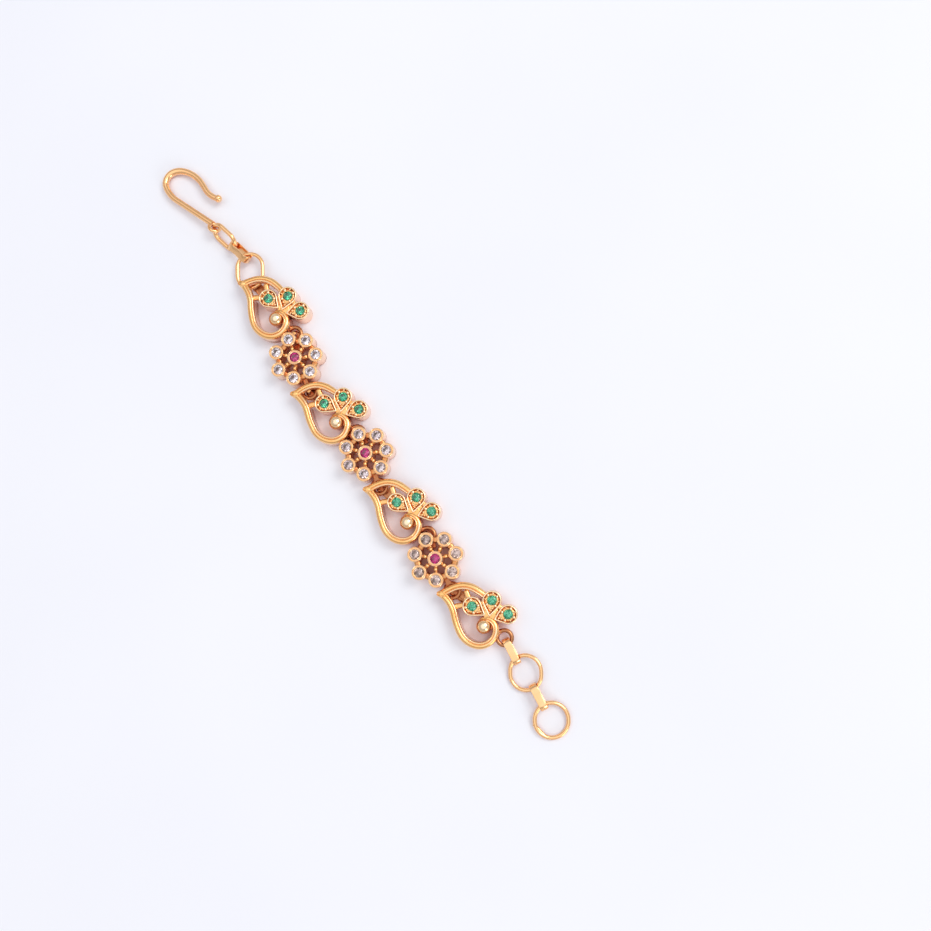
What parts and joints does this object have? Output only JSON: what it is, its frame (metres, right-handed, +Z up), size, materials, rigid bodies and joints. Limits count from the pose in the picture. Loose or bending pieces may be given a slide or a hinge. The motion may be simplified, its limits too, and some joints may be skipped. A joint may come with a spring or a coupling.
{
  "type": "ear chain",
  "caption": "Jewelled ear chain of gilt paisley and flower links set with round stones, with a wire hook at one end and a hanging ring at the other, lying flat.",
  "frame": {"origin": "under the middle flower link's centre stone, on the flat back that the chain lies on", "axes": "+X along the chain from the hook to the end ring, +Z up out of the stones, +Y across the chain to the side that the petals lean to"},
  "size_m": [0.1342, 0.0134, 0.0041],
  "materials": {
    "gilt_casting": "satin",
    "gilt_wire": "polished",
    "gilt_strip": "polished",
    "clear_stone": "polished",
    "red_stone": "polished",
    "green_stone": "polished"
  },
  "bodies": {
    "root": {"paisley_1": "gilt_casting", "paisley_2": "gilt_casting", "paisley_3": "gilt_casting", "paisley_4": "gilt_casting", "flower_1": "gilt_casting", "flower_2": "gilt_casting", "flower_3": "gilt_casting", "ear_hook": "gilt_wire", "hook_ring": "gilt_wire", "neck_ring": "gilt_wire", "middle_ring": "gilt_wire", "end_ring": "gilt_wire", "strip_1": "gilt_strip", "strip_2": "gilt_strip", "strip_3": "gilt_strip", "flower_1_stone_1": "clear_stone", "flower_1_stone_2": "clear_stone", "flower_1_stone_3": "clear_stone", "flower_1_stone_4": "clear_stone", "flower_1_stone_5": "clear_stone", "flower_1_stone_6": "clear_stone", "flower_1_stone_7": "clear_stone", "flower_2_stone_1": "clear_stone", "flower_2_stone_2": "clear_stone", "flower_2_stone_3": "clear_stone", "flower_2_stone_4": "clear_stone", "flower_2_stone_5": "clear_stone", "flower_2_stone_6": "clear_stone", "flower_2_stone_7": "clear_stone", "flower_3_stone_1": "clear_stone", "flower_3_stone_2": "clear_stone", "flower_3_stone_3": "clear_stone", "flower_3_stone_4": "clear_stone", "flower_3_stone_5": "clear_stone", "flower_3_stone_6": "clear_stone", "flower_3_stone_7": "clear_stone", "flower_1_centre_stone": "red_stone", "flower_2_centre_stone": "red_stone", "flower_3_centre_stone": "red_stone", "paisley_1_stone_1": "green_stone", "paisley_1_stone_2": "green_stone", "paisley_1_stone_3": "green_stone", "paisley_2_stone_1": "green_stone", "paisley_2_stone_2": "green_stone", "paisley_2_stone_3": "green_stone", "paisley_3_stone_1": "green_stone", "paisley_3_stone_2": "green_stone", "paisley_3_stone_3": "green_stone", "paisley_4_stone_1": "green_stone", "paisley_4_stone_2": "green_stone", "paisley_4_stone_3": "green_stone"}
  },
  "joints": []
}
